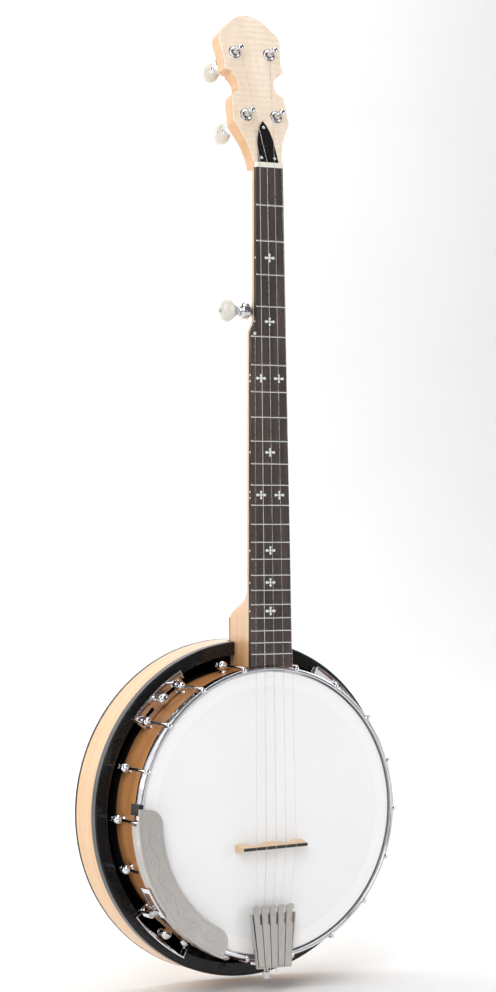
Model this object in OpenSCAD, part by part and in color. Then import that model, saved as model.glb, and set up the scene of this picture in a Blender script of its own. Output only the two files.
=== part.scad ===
// Five-string banjo with a bolted-on resonator.
// +Z runs up the neck, -Y is the front (head side), +X is the treble side.
// The pot's axis is the Y axis, and y = 0 is the flat middle of the resonator back.
// Angles round the pot are measured from the neck, clockwise as seen from the front.

/* [Neck] */
// Vibrating length of the strings, nut to bridge
scale_length = 667; // [655:1:680]
// Number of frets
fret_count = 22; // [18:1:22]
// Fingerboard half width at the pot
board_half_pot = 23.4; // [22:0.1:25]
// Treble edge of the fingerboard at the nut
board_right_nut = 17.9; // [17:0.1:19]
// Bass edge of the fingerboard at the nut
board_left_nut = 12.4; // [12:0.1:13]
// Fingerboard thickness
board_thick = 4.6; // [4:0.1:5]
// Backward pitch of the neck
neck_pitch = 1.42; // [1:0.01:2]
// Depth of the neck wood behind the fingerboard at the nut
neck_depth_nut = 13; // [12:0.5:15]
// Depth of the neck wood behind the fingerboard near the heel
neck_depth_low = 17.5; // [16:0.5:20]
// Depth of the heel
heel_depth = 60; // [56:0.5:62]

/* [Peghead] */
// Tilt of the peghead from the fingerboard
peghead_tilt = 15.1; // [13:0.1:17]
// Peghead thickness without its face veneer
peghead_thick = 14.4; // [13:0.1:16]
// Thickness of the face veneer
veneer_thick = 1.6; // [1:0.1:2]
// Distance of the tuner buttons' middles behind the face
button_reach = 49; // [48:0.5:52]

/* [Pot] */
// Outer radius of the wooden rim
rim_r = 139.7; // [139.5:0.1:139.9]
// Rim wall thickness
rim_wall = 13; // [11:0.5:15]
// Depth of the head plane in front of the resonator back
head_depth = 99.05; // [98.5:0.05:99.5]
// Angle of the first bracket hook from the neck
first_hook = 12; // [11.5:0.25:12.5]
// Angle between neighbouring hooks
hook_step = 19.75; // [19.7:0.05:19.8]
// Bridge line, measured down from the pot's axis
bridge_drop = 32.5; // [28:0.5:36]
// Slant of the bridge for tuning
bridge_slant = 1.6; // [0:0.1:2.5]

/* [Resonator] */
// Outer radius of the resonator
resonator_r = 167.5; // [167:0.1:168]
// Wall thickness of the resonator
resonator_wall = 5.8; // [5:0.1:6]
// Distance of the resonator's front lip from its back
lip_depth = 53; // [52.9:0.1:53.1]
// Drop of the arched back from the middle to the edge
back_arch = 7; // [5:0.5:7]

/* [Hidden] */

// General
gap = 0.1;        // clearance between pieces that lie against each other
big = 400;        // longer than anything it has to cut
ring_fn = 180;
round_fn = 48;
small_fn = 32;

// Neck frame: w runs up the neck from the fingerboard's end, y = 0 is the fingerboard's face.
board_end_z = 146;
board_front = 104.2;
nut_w = 490.9;
nut_len = 5;
step_start = fret_w(5) + 2.5;
step_end = step_start + 15;
neck_top_w = nut_w + nut_len + 6;
heel_start = 46;
heel_end = 84;
heel_cap_half = 10;
heel_cap_thick = 2;
pip_w = fret_w(5) + 2.7;
pip_x = -16.2;
pip_h = 1.3;

// Peghead frame: v runs up the peghead, y = 0 is its face.
peghead_y = 2.5;
peghead_x = 2.4;
upper_v = 117;
lower_v = 50;
upper_u = 19.6;
lower_u = 17.2;

// Pot
hooks_per_side = 9;

// Tuners, in a frame with z out of the back of the peghead
post_r = 3.1;
post_bore = 3.15;
bushing_r = 4.9;
body_start = peghead_thick + veneer_thick + gap;
body_len = 19.5;
body_r = 8.2;
carrier_z = body_start + 9;
shaft_bore = 2.55;
shaft_r = 2.5;
button_len = 16;
button_wide = 23;
button_thick = 13;

// Fifth tuner, in a frame with z out of the bass side of the neck
fifth_w = 349;
fifth_y = 11.5;
fifth_x = -14.6;

// Strings
string_r = [0.13, 0.17, 0.21, 0.29, 0.13];
nut_string_x = [15.9, 7.6, -0.8, -9.2];
bridge_spacing = 11.3;
nut_rise = 1.3;
bend = 0.03;      // how much a string's ball at a bend stands proud of it

// Pot
rim_in = rim_r - rim_wall;
rim_back = 28;
ledge_y = 86;
ledge_r = 136.6;
skin = 0.3;
hoop_in = 140.9;
hoop_out = 144.5;
hoop_front = 103;
hoop_back = 92.9;
hook_r = 146.6;
shank_r = 1.6;
shoe_y = 60;
shoe_r = 5.2;
bolt_r = 2;
hook_angles = [for (side = [-1, 1], i = [0 : hooks_per_side - 1]) side * (first_hook + i * hook_step)];
rod_y = [76, 50];
rod_r = 4.75;
stud_r = 3;

// Flange plates and resonator fixings
plate_in = 141;
plate_out = 161.3;
plate_y = 54.7;
plate_thick = 1.5;
plate_upper = first_hook + 1.5 * hook_step;
plate_lower = first_hook + 6.5 * hook_step;
plate_angles = [-plate_upper, plate_upper, -plate_lower, plate_lower];
plate_half = 12.4;
screw_r = 151.5;
thumb_r = 2.4;

// Resonator
side_back = 11.4;
ledge_in = 154.2;
ledge_thick = 5;
land_r = 70;
back_thick = 4.5;
binding = 2.4;

// Armrest
rest_in = 124;
rest_out = 150;
rest_from = -157.5;
rest_to = -85.5;
skirt_to = -92;
rest_front = 111;

// Tailpiece frame: z runs up its face from the bottom edge, y = 0 is its face.
tail_z = -150;
tail_front = 113.5;
tail_tilt = -2.86;
tail_len = 60.5;
tail_half_low = 19.3;
tail_half_top = 26.3;
finger_thick = 1.6;
tray_y = 3;
tray_thick = 1.2;
bracket_z = 147.4;

// Bridge
bridge_front = 115.3;
bridge_cap = 1.8;
bridge_half = 36;

metal = [0.82, 0.83, 0.85];
satin = [0.72, 0.68, 0.65];
maple = [0.93, 0.78, 0.58];
pale_maple = [0.94, 0.87, 0.78];
dark_wood = [0.25, 0.2, 0.18];
black = [0.06, 0.06, 0.06];
pearl = [0.93, 0.92, 0.88];

// ---- Helpers ----

// Distance of a fret from the nut
function fret(n) = scale_length * (1 - pow(2, -n / 12));
function fret_w(n) = nut_w - fret(n);

// Fingerboard edges at a distance w up the neck
function smooth(t) = t <= 0 ? 0 : t >= 1 ? 1 : t * t * (3 - 2 * t);
function mix(a, b, t) = a + (b - a) * t;
function board_right(w) = mix(board_half_pot, board_right_nut, w / nut_w);
function board_upper_left(w) = mix(board_half_pot - board_right_nut + board_left_nut, board_left_nut, w / nut_w);
function board_left(w) = mix(board_right(w), board_upper_left(w), smooth((w - step_start) / (step_end - step_start)));

// World point of a point in the neck frame, and in the peghead frame
function neck_point(x, y, w) = [
    x,
    -board_front + y * cos(neck_pitch) + w * sin(neck_pitch),
    board_end_z - y * sin(neck_pitch) + w * cos(neck_pitch)
];
function peg_point(u, y, v) = neck_point(
    peghead_x + u,
    peghead_y + y * cos(peghead_tilt) + v * sin(peghead_tilt),
    nut_w + nut_len - y * sin(peghead_tilt) + v * cos(peghead_tilt)
);
function tail_point(x, y, z) = [
    x,
    -tail_front + y * cos(tail_tilt) - z * sin(tail_tilt),
    tail_z + y * sin(tail_tilt) + z * cos(tail_tilt)
];

module neck_frame() {
    translate([0, -board_front, board_end_z]) rotate([-neck_pitch, 0, 0]) children();
}

module peg_frame() {
    neck_frame() translate([peghead_x, peghead_y, nut_w + nut_len])
        rotate([-peghead_tilt, 0, 0]) children();
}

// z points out of the back of the peghead at tuner i (1 and 4 lower, 2 and 3 upper)
module tuner_frame(i) {
    u = i == 1 ? lower_u : i == 2 ? upper_u : i == 3 ? -upper_u : -lower_u;
    v = i == 1 || i == 4 ? lower_v : upper_v;
    peg_frame() translate([u, 0, v]) rotate([-90, 0, 0]) children();
}

// z points out of the bass side of the neck
module fifth_frame() {
    neck_frame() translate([fifth_x, fifth_y, fifth_w]) rotate([0, -90, 0]) children();
}

module tail_frame() {
    translate([0, -tail_front, tail_z]) rotate([tail_tilt, 0, 0]) children();
}

// A shape turned about the pot's axis, from points [radius, y]
module turned(points) {
    rotate([-90, 0, 0]) rotate_extrude($fn = ring_fn) polygon(points);
}

module ring(r_in, r_out, y0, y1) {
    turned([[r_in, y0], [r_out, y0], [r_out, y1], [r_in, y1]]);
}

// A section of points [radius, y] turned between two angles round the pot
module arc_turned(points, from, to) {
    rotate([0, from, 0]) rotate([-90, 0, 0]) rotate([0, 0, -90])
        rotate_extrude(angle = to - from, $fn = ring_fn) polygon(points);
}

module arc_ring(r_in, r_out, y0, y1, from, to) {
    arc_turned([[r_in, y0], [r_out, y0], [r_out, y1], [r_in, y1]], from, to);
}

// A cylinder along Y at a radius and angle round the pot
module y_cyl(angle, at, r, y0, y1, fn = round_fn) {
    rotate([0, angle, 0]) translate([0, y0, at]) rotate([-90, 0, 0]) cylinder(h = y1 - y0, r = r, $fn = fn);
}

// A cylinder that points out from the pot's axis
module radial_cyl(angle, y, r, from, to, fn = small_fn) {
    rotate([0, angle, 0]) translate([0, y, from]) cylinder(h = to - from, r = r, $fn = fn);
}

// A straight round wire between two points
module wire(a, b, r) {
    d = b - a;
    len = norm(d);
    translate(a) rotate([0, acos(d[2] / len), atan2(d[1], d[0])]) cylinder(h = len, r = r, $fn = 16);
}

// A string through a list of points, with a ball at each bend
module string(points, r) {
    for (i = [0 : len(points) - 2]) wire(points[i], points[i + 1], r);
    for (i = [1 : len(points) - 2]) translate(points[i]) sphere(r = r + bend, $fn = 16);
}

// ---- Pot ----

module rim() {
    color(maple) difference() {
        turned([
            [rim_in, -rim_back], [rim_r, -rim_back], [rim_r, -ledge_y],
            [ledge_r, -ledge_y], [ledge_r, -94.8], [rim_in, -94.8]
        ]);
        for (a = hook_angles) radial_cyl(a, -shoe_y, bolt_r + gap, rim_in - 5, rim_r + 5);
        for (y = rod_y) translate([0, -y, -big / 2]) cylinder(h = big, r = stud_r + gap, $fn = round_fn);
    }
}

module tone_ring() {
    color(metal) turned([
        [125.5, -95], [125.5, -97.4], [134.8, -97.4], [136.6, -99], [138.4, -99],
        [rim_r, -97.7], [rim_r, -ledge_y - gap], [ledge_r + 0.2, -ledge_y - gap], [ledge_r + 0.2, -95]
    ]);
}

module head_skin() {
    wrap = rim_r + gap;
    color("white") turned([
        [0, -head_depth], [138.6, -head_depth], [wrap, -97.8], [wrap, -90],
        [wrap + skin, -90], [wrap + skin, -98], [138.8, -head_depth - skin], [0, -head_depth - skin]
    ]);
}

module flesh_hoop() {
    color(metal) ring(140.3, 143.3, -92.7, -88.7);
}

module tension_hoop() {
    bevel = 0.7;
    color(metal) turned([
        [hoop_in, -hoop_back], [hoop_out, -hoop_back], [hoop_out, -hoop_front + bevel],
        [hoop_out - bevel, -hoop_front], [hoop_in + bevel, -hoop_front], [hoop_in, -hoop_front + bevel]
    ]);
}

module bracket_hook() {
    claw_w = 5;
    claw_in = 141.7;
    claw_out = hook_r + shank_r;
    y_cyl(0, hook_r, shank_r, -104.6, -44);
    translate([-claw_w / 2, -105.2, claw_in]) cube([claw_w, 2.1, claw_out - claw_in]);
}

module bracket_hooks() {
    color(metal) for (a = hook_angles) rotate([0, a, 0]) bracket_hook();
}

module bracket_shoe() {
    difference() {
        union() {
            translate([0, -shoe_y, hook_r]) sphere(r = shoe_r, $fn = round_fn);
            radial_cyl(0, -shoe_y, 3.4, rim_r + gap, hook_r - 2);
        }
        y_cyl(0, hook_r, shank_r + gap, -70, -50);
        radial_cyl(0, -shoe_y, bolt_r + 0.05, rim_r - 1, 144.4);
    }
}

module bracket_shoes() {
    color(metal) for (a = hook_angles) rotate([0, a, 0]) bracket_shoe();
}

module shoe_bolts() {
    head_r = 4;
    color(metal) for (a = hook_angles) {
        radial_cyl(a, -shoe_y, bolt_r, rim_in - 1, 144.2);
        radial_cyl(a, -shoe_y, head_r, rim_in - 2.8, rim_in - 0.3);
    }
}

// A hook nut bears on a flange plate where there is one, and otherwise on its shoe.
function on_plate(a) = len([for (p = plate_angles) if (abs(a - p) < plate_half) p]) > 0;

module hook_nuts() {
    nut_r = 4;
    nut_h = 8;
    color(metal) for (a = hook_angles) {
        start = on_plate(a) ? -plate_y + plate_thick + gap : -shoe_y + shoe_r + gap;
        difference() {
            y_cyl(a, hook_r, nut_r, start, start + nut_h, 6);
            y_cyl(a, hook_r, shank_r + 0.05, start - 1, start + nut_h + 1);
        }
    }
}

module flange_plate() {
    front = -plate_y;
    back = front + plate_thick;
    wall = 1.3;
    lip = -62;
    slot_half = 4;
    slot_r = 1.9;
    difference() {
        union() {
            arc_turned([
                [plate_in, front], [plate_out - wall, front], [plate_out - wall, lip],
                [plate_out, lip], [plate_out, back], [plate_in, back]
            ], -plate_half, plate_half);
            for (a = [0.05 - plate_half, plate_half - 0.55])
                arc_ring(152.5, plate_out - wall / 2, lip + 0.4, front + 0.5, a, a + 0.5);
        }
        for (a = [-hook_step / 2, hook_step / 2]) y_cyl(a, hook_r, shank_r + 0.3, lip, back + 1);
        y_cyl(0, screw_r, thumb_r + 0.3, lip, back + 1);
        // two slots
        for (a = [-6, 6]) rotate([0, a, 0]) translate([0, lip, 147.5]) {
            translate([-slot_half, 0, 0.1 - slot_r]) cube([2 * slot_half, 10, 2 * slot_r - 0.2]);
            for (s = [-1, 1]) translate([s * slot_half, 0, 0]) rotate([-90, 0, 0])
                cylinder(h = 10, r = slot_r, $fn = small_fn);
        }
    }
}

module flange_plates() {
    color(metal) for (a = plate_angles) rotate([0, a, 0]) flange_plate();
}

module coordinator_rods() {
    body_half = rim_in - 8;
    color(metal) for (y = rod_y) {
        translate([0, -y, -body_half]) cylinder(h = 2 * body_half, r = rod_r, $fn = round_fn);
        translate([0, -y, -152.8]) cylinder(h = 152.8 + 158, r = stud_r, $fn = round_fn);
    }
}

module coordinator_nut(y, z0, h) {
    nut_r = 6.4;
    translate([0, -y, z0]) difference() {
        cylinder(h = h, r = nut_r, $fn = 6);
        translate([0, 0, -1]) cylinder(h = h + 2, r = stud_r + 0.05, $fn = round_fn);
    }
}

module coordinator_nuts() {
    inner = rim_in - 7.8;
    color(metal) for (y = rod_y) {
        coordinator_nut(y, inner, 7.3);
        coordinator_nut(y, -inner - 7.3, 7.3);
        coordinator_nut(y, -rim_r - 6, 5.8);
    }
    color(metal) coordinator_nut(rod_y[0], -bracket_z - 5.4, 3.8);
}

// ---- Tailpiece, bridge and armrest ----

module tailpiece_base() {
    flange = 1.2;
    bracket_half = 9;
    color(satin) {
        tail_frame() {
            // tray behind the fingers
            translate([0, tray_y + tray_thick, 0]) rotate([90, 0, 0]) linear_extrude(tray_thick)
                polygon([
                    [-tail_half_low, 0], [tail_half_low, 0],
                    [tail_half_top - 1, 52], [1 - tail_half_top, 52]
                ]);
            // side flanges
            for (s = [-1, 1]) translate([0, tray_y + tray_thick, 0]) rotate([90, 0, 0])
                linear_extrude(tray_y + tray_thick - 0.6) polygon([
                    [s * (tail_half_low - flange), 0], [s * tail_half_low, 0],
                    [s * (tail_half_top - 1), 52], [s * (tail_half_top - 1 - flange), 52]
                ]);
            // closed lower end
            translate([-tail_half_low, 0.6, -flange]) cube([2 * tail_half_low, 3.6, flange + 0.4]);
        }
        // bracket that reaches over the hoop to the coordinator rod
        difference() {
            translate([-bracket_half, -109.8, -bracket_z - 1.5]) cube([2 * bracket_half, 109.8 - 66, 1.5]);
            translate([0, -rod_y[0], -160]) cylinder(h = 20, r = stud_r + gap, $fn = round_fn);
            translate([0, -96, -160]) cylinder(h = 20, r = bolt_r + 0.05, $fn = round_fn);
        }
    }
}

module tailpiece_finger(i) {
    // i runs from -2 on the bass side to 2 on the treble side
    low_step = (2 * tail_half_low - 2.4) / 5;
    top_step = (2 * tail_half_top - 4.4) / 5;
    slit = 0.35;
    xl = function(z) mix(low_step, top_step, z / tail_len) * (i - 0.5) + slit;
    xr = function(z) mix(low_step, top_step, z / tail_len) * (i + 0.5) - slit;
    nip = 3.4;
    translate([0, finger_thick, 0]) rotate([90, 0, 0]) linear_extrude(finger_thick) difference() {
        polygon([
            [xl(0.6), 0.6], [xr(0.6), 0.6], [xr(43), 43],
            [xr(tail_len - 2), tail_len - 2], [xr(tail_len) - 2, tail_len],
            [xl(tail_len) + 2, tail_len], [xl(tail_len - 2), tail_len - 2]
        ]);
        // hooked notch on the treble side
        translate([xr(50) + 0.4, 50]) scale([1, 2.4]) circle(r = 2.3, $fn = small_fn);
        translate([xr(44) - nip + 1.4, 42]) square([nip, 5]);
    }
}

module tailpiece_fingers() {
    color(satin) tail_frame() for (i = [-2 : 2]) tailpiece_finger(i);
}

module tailpiece_pins() {
    color(metal) tail_frame() for (i = [-2 : 2])
        translate([string_tail_x(i), finger_thick + gap / 2, 7]) rotate([-90, 0, 0])
            cylinder(h = tray_y - finger_thick - gap, r = 1, $fn = small_fn);
}

module tailpiece_bolt() {
    color(metal) translate([0, -96, 0]) {
        translate([0, 0, -157]) cylinder(h = 157 - hoop_out - 0.3, r = bolt_r, $fn = round_fn);
        translate([0, 0, -164]) cylinder(h = 7, r = 3.6, $fn = round_fn);
    }
}

module bridge_frame() {
    translate([0, 0, -bridge_drop]) rotate([0, -bridge_slant, 0]) children();
}

module bridge_base() {
    foot_y = -head_depth - skin - 0.05;
    top_y = -bridge_front + bridge_cap + 0.02;
    foot_half = 37.5;
    color(maple) bridge_frame() intersection() {
        // tapered from the feet to the top
        rotate([90, 0, 90]) translate([0, 0, -50]) linear_extrude(100)
            polygon([[foot_y, -4], [foot_y, 4], [top_y, 1.7], [top_y, -1.7]]);
        // three feet with two arches
        translate([0, 0, -6]) linear_extrude(12) difference() {
            polygon([
                [-foot_half, foot_y], [foot_half, foot_y], [foot_half, foot_y - 5],
                [bridge_half, top_y], [-bridge_half, top_y], [-foot_half, foot_y - 5]
            ]);
            for (s = [-1, 1]) {
                translate([s * 17.5, foot_y - 1]) circle(r = 6.5, $fn = round_fn);
                translate([s * 17.5 - 10.5, foot_y - 3]) square([21, 8]);
            }
        }
    }
}

module bridge_top() {
    color(black) bridge_frame() translate([-bridge_half, -bridge_front, -1.5])
        cube([2 * bridge_half, bridge_cap, 3]);
}

rest_corner = 15;
rest_thick = 1.6;

// Points in the XZ plane at an angle round the pot
function polar(r, a) = [r * sin(a), r * cos(a)];
function arc_line(r, from, to, steps) = [for (i = [0 : steps]) polar(r, mix(from, to, i / steps))];
function rest_end(a, side) = [for (t = [0 : 15 : 90])
    polar(rest_in + rest_corner, a) + rest_corner * (side * cos(t) * [cos(a), -sin(a)] - sin(t) * [sin(a), cos(a)])];

module armrest_plate() {
    inset = asin(rest_corner / (rest_in + rest_corner));
    low = rest_from + inset;
    high = rest_to - inset;
    ends = rest_end(low, -1);
    color(satin) {
        translate([0, rest_thick - rest_front, 0]) rotate([90, 0, 0]) linear_extrude(rest_thick)
            polygon(concat(
                arc_line(rest_out, rest_from, rest_to, 24), rest_end(high, 1), arc_line(rest_in, high, low, 20),
                [for (i = [len(ends) - 1 : -1 : 0]) ends[i]]
            ));
        translate([0, -96, 0]) rotate([90, 0, 0]) linear_extrude(rest_front - 96.2)
            polygon(concat(
                arc_line(rest_out - 0.1, rest_from + 0.3, skirt_to, 24),
                arc_line(rest_out - 1.3, skirt_to, rest_from + 0.3, 24)
            ));
    }
}

clamp_mid = -(first_hook + 5.5 * hook_step);
strap_nut_r = 154.6;

module armrest_clamps() {
    strap_in = 150.3;
    strap_out = 151.8;
    color(metal) {
        // slotted strap outside the skirt, with a foot under the hoop
        difference() {
            arc_ring(strap_in, strap_out, -105, -86, clamp_mid - 8.5, clamp_mid + 4.5);
            arc_ring(strap_in - 1, strap_out + 1, -102, -89.5, clamp_mid - 5.5, clamp_mid + 2.5);
        }
        arc_ring(145.2, strap_out, -91.2, -89, clamp_mid - 8.2, clamp_mid - 5.9);
    }
    // pad that grips the hoop under the upper end
    color(black) rotate([0, clamp_mid + 34.6, 0]) translate([-5.5, -109.2, hoop_out + 0.4]) cube([11, 17, 4.6]);
}

module armrest_nuts() {
    color(metal) {
        rotate([0, clamp_mid - 7, 0]) translate([0, -85.8, strap_nut_r]) rotate([-90, 0, 0])
            cylinder(h = 12, r = 3.4, $fn = round_fn);
        rotate([0, clamp_mid - 7, 0]) translate([0, -85.9, 150.6]) rotate([-90, 0, 0])
            cylinder(h = 15, r = 1.6, $fn = small_fn);
    }
}

// ---- Neck ----

// Depth of the neck wood, and how far the section has turned into the heel, at w
function heel_mix(w) = 1 - smooth((w - heel_start) / (heel_end - heel_start));
function shaft_depth(w) = mix(neck_depth_low, neck_depth_nut, max(0, w) / nut_w);
function neck_depth(w) = mix(shaft_depth(w), heel_depth, pow(heel_mix(w), 1.6));

profile_steps = 9;
shaft_flat = 1.2;

// Half width of the neck wood at an angle round its section, from 0 at the fingerboard to 90 at the back
function section_half(w, half, phi) = mix(
    shaft_flat + (half - shaft_flat) * cos(phi),
    heel_cap_half + (half - heel_cap_half) * pow(1 - sin(phi), 1.3),
    heel_mix(w)
);
function section_points(w) = concat(
    [for (i = [0 : profile_steps]) let (phi = 90 * i / profile_steps)
        [section_half(w, board_right(w), phi), board_thick + gap / 5 + neck_depth(w) * sin(phi), w]],
    [for (i = [profile_steps : -1 : 0]) let (phi = 90 * i / profile_steps)
        [-section_half(w, board_left(w), phi), board_thick + gap / 5 + neck_depth(w) * sin(phi), w]]
);
neck_stations = concat(
    [-12],
    [for (w = [heel_start : 4 : heel_end]) w],
    [for (w = [110 : 40 : 310]) w],
    [for (w = [step_start : 2.5 : step_end]) w],
    [for (w = [370 : 40 : 450]) w],
    [nut_w + nut_len]
);

// A closed skin over a list of rings that all have the same number of points
module loft(rings) {
    n = len(rings[0]);
    last = len(rings) - 1;
    polyhedron(
        points = [for (r = rings) for (p = r) p],
        faces = concat(
            [[for (i = [0 : n - 1]) i]],
            [[for (i = [n - 1 : -1 : 0]) last * n + i]],
            [for (k = [0 : last - 1], i = [0 : n - 1])
                [k * n + i, (k + 1) * n + i, (k + 1) * n + (i + 1) % n, k * n + (i + 1) % n]]
        ),
        convexity = 6
    );
}

// One side of the peghead's outline, from the tip down to the nut
function arc_points(cx, cy, r, from, to, steps) =
    [for (i = [0 : steps]) let (a = mix(from, to, i / steps)) [cx + r * cos(a), cy + r * sin(a)]];
peghead_side = concat(
    [[0, 158.5], [9, 156.8], [17, 152.8]],
    arc_points(20, 130, 14.6, 50, -14, 5),
    [[31.6, 107.5], [33.2, 99.2], [25.5, 96.6]],
    arc_points(34, 83, 14.2, 125, 205, 5),
    [[28.8, 71.4], [29.8, 65], [30.2, 56]],
    arc_points(20, 45.5, 11.2, 20, -35, 4),
    [[24.2, 30.5], [19.5, 20], [16.6, 9], [15.4, 0], [15.3, -9]]
);

module peghead_outline() {
    polygon(concat(peghead_side, [for (i = [len(peghead_side) - 1 : -1 : 1]) [-peghead_side[i][0], peghead_side[i][1]]]));
}

module peghead_slab(y0, y1) {
    peg_frame() translate([0, y1, 0]) rotate([90, 0, 0]) linear_extrude(y1 - y0) peghead_outline();
}

module tuner_holes() {
    for (i = [1 : 4]) tuner_frame(i) translate([0, 0, -5]) cylinder(h = 40, r = bushing_r + gap, $fn = round_fn);
}

truss_y = 10;
truss_r = 2.4;

module truss_pocket() {
    neck_frame() translate([peghead_x - 4.8, truss_y - 8, nut_w + nut_len + 0.5]) cube([9.6, 12, 16]);
}

module pot_clearance() {
    ring(0, rim_r + gap, -88, 0);
    ring(0, hoop_out + 1.2, -130, -87.9);
}

module neck() {
    color(maple) difference() {
        union() {
            neck_frame() loft([for (w = neck_stations) section_points(w)]);
            difference() {
                peghead_slab(veneer_thick, veneer_thick + peghead_thick);
                // the slab's foot stays behind the fingerboard and above the nut
                neck_frame() translate([-big / 2, board_thick - big, -big + nut_w + nut_len])
                    cube([big, big, big]);
                neck_frame() translate([-big / 2, -1, nut_w - 20]) cube([big, big, 18]);
            }
        }
        pot_clearance();
        tuner_holes();
        truss_pocket();
        neck_frame() translate([peghead_x, truss_y, 30])
            cylinder(h = neck_top_w, r = truss_r + gap, $fn = small_fn);
        for (y = rod_y) translate([0, -y, 130]) cylinder(h = 32, r = stud_r + gap, $fn = round_fn);
        fifth_frame() translate([0, 0, -9.2]) cylinder(h = 20, r = 3.1, $fn = round_fn);
        fifth_frame() translate([0, 0, -1.3]) cylinder(h = 20, r = 6.3, $fn = round_fn);
    }
}

module peghead_overlay() {
    color(pale_maple) difference() {
        peghead_slab(0, veneer_thick - 0.02);
        neck_frame() translate([-big / 2, -big / 2, -big + nut_w + nut_len + 0.05]) cube([big, big, big]);
        tuner_holes();
        truss_pocket();
    }
}

// The fingerboard's outline between two distances up the neck, as [x, w]
function board_edge(w0, w1) = concat(
    [[board_right(w0), w0], [board_right(w1), w1]],
    [[-board_left(w1), w1]],
    [for (i = [8 : -1 : 0]) let (w = mix(step_start, step_end, i / 8)) [-board_left(w), w]],
    [[-board_left(w0), w0]]
);

module fingerboard() {
    color(dark_wood) difference() {
        neck_frame() translate([0, board_thick, 0]) rotate([90, 0, 0]) linear_extrude(board_thick)
            polygon(board_edge(-4, nut_w - 0.05));
        pot_clearance();
        fret_slots();
        inlay_pockets();
        // groove that lets the short string down to its peg
        wire(pip_point(1.2), fifth_touch(), string_r[4] + 0.35);
    }
}

fret_wire_w = 1.9;
fret_crown = 1;
tang_w = 0.6;
tang_depth = 1.8;

module fret_slots() {
    for (n = [1 : fret_count]) neck_frame()
        translate([-30, -1, fret_w(n) - tang_w / 2 - 0.02]) cube([60, tang_depth + 1.05, tang_w + 0.04]);
}

module fret_bar(n) {
    w = fret_w(n);
    left = board_left(n == 5 ? w - 1 : w) - 0.3;
    right = board_right(w) - 0.3;
    fret_len = left + right;
    translate([-left, 0, w]) {
        // crown, a slice of a cylinder that lies across the board
        difference() {
            translate([0, fret_wire_w / 2 - fret_crown, 0]) rotate([0, 90, 0])
                cylinder(h = fret_len, r = fret_wire_w / 2, $fn = small_fn);
            translate([-1, -0.02, -2]) cube([fret_len + 2, 4, 4]);
        }
        translate([0.2, -0.3, -tang_w / 2]) cube([fret_len - 0.4, tang_depth + 0.3, tang_w]);
    }
}

module frets() {
    color(metal) neck_frame() for (n = [1 : fret_count]) fret_bar(n);
}

// Position marks: [fret, offsets from the middle of the strings]
marks = [[3, [0]], [5, [0]], [7, [-10.2, 10.2]], [10, [0]], [12, [-10.4, 10.4]], [15, [0]], [17, [0]], [19, [0]]];
mark_depth = 1.2;
function mark_w(n) = (fret_w(n) + fret_w(n - 1)) / 2;
function mark_x(w) = mix(-0.8, 2.4, w / nut_w);

// A four-lobed mark, wider than it is tall
module mark_shape(grow = 0) {
    circle(r = 1.15 + grow, $fn = small_fn);
    for (side = [-1, 1]) {
        translate([side * 2.4, 0]) circle(r = 1 + grow, $fn = small_fn);
        translate([side * 4.2, 0]) circle(r = 1.4 + grow, $fn = small_fn);
        translate([0, side * 1.9]) circle(r = 0.9 + grow, $fn = small_fn);
        translate([0, side * 3.1]) circle(r = 1.2 + grow, $fn = small_fn);
    }
}

module side_dot_places(grow = 0) {
    for (m = marks) {
        w = mark_w(m[0]);
        for (d = len(m[1]) == 2 ? [-3, 3] : [0])
            translate([-board_left(w + d) - 1, board_thick / 2, w + d]) rotate([0, 90, 0])
                cylinder(h = 2.5 + (grow > 0 ? 0.05 : 0), r = 1 + grow, $fn = small_fn);
    }
}

module inlay_pockets() {
    neck_frame() {
        for (m = marks) for (x = m[1]) translate([mark_x(mark_w(m[0])) + x, mark_depth, mark_w(m[0])])
            rotate([90, 0, 0]) linear_extrude(mark_depth + 1) mark_shape(0.03);
        side_dot_places(0.03);
    }
}

module inlays() {
    color(pearl) {
        neck_frame() for (m = marks) for (x = m[1])
            translate([mark_x(mark_w(m[0])) + x, mark_depth - 0.03, mark_w(m[0])])
                rotate([90, 0, 0]) linear_extrude(mark_depth - 0.04) mark_shape();
        intersection() {
            neck_frame() side_dot_places();
            neck_frame() translate([0, board_thick, 0]) rotate([90, 0, 0]) linear_extrude(board_thick)
                polygon(board_edge(0, nut_w));
        }
    }
}

module nut() {
    color(pearl) neck_frame()
        translate([-board_left_nut, -nut_rise, nut_w]) cube([board_left_nut + board_right_nut, nut_rise + board_thick, nut_len]);
}

module fifth_string_nut() {
    color(pearl) neck_frame() translate([pip_x, 0, pip_w]) rotate([90, 0, 0]) {
        cylinder(h = pip_h, r = 1.5, $fn = small_fn);
    }
}

module truss_rod() {
    color(metal) neck_frame() translate([peghead_x, truss_y, 34])
        cylinder(h = neck_top_w - 34 + 3, r = truss_r - 0.6, $fn = small_fn);
}

module truss_rod_nut() {
    color(metal) neck_frame() translate([peghead_x, truss_y, nut_w + nut_len + 1.4]) difference() {
        cylinder(h = 10, r = 3.4, $fn = 6);
        translate([0, 0, -1]) cylinder(h = 12, r = truss_r - 0.55, $fn = small_fn);
    }
}

// Bell shape, pointed at the top
cover_side = [[11.2, 0.4], [10.6, 6], [9.6, 16], [8.6, 24], [6.2, 33], [3, 40], [0, 44]];

module truss_rod_cover() {
    color(black) peg_frame() translate([0, -0.05, 0]) rotate([90, 0, 0]) difference() {
        linear_extrude(1.8) polygon(concat(cover_side, [for (i = [5 : -1 : 0]) [-cover_side[i][0], cover_side[i][1]]]));
        for (p = cover_screw_places) translate([p[0], p[1], -1]) cylinder(h = 5, r = 1.1, $fn = small_fn);
    }
}

cover_screw_places = [[0, 37], [-7.4, 4.5], [7.4, 4.5]];

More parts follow.
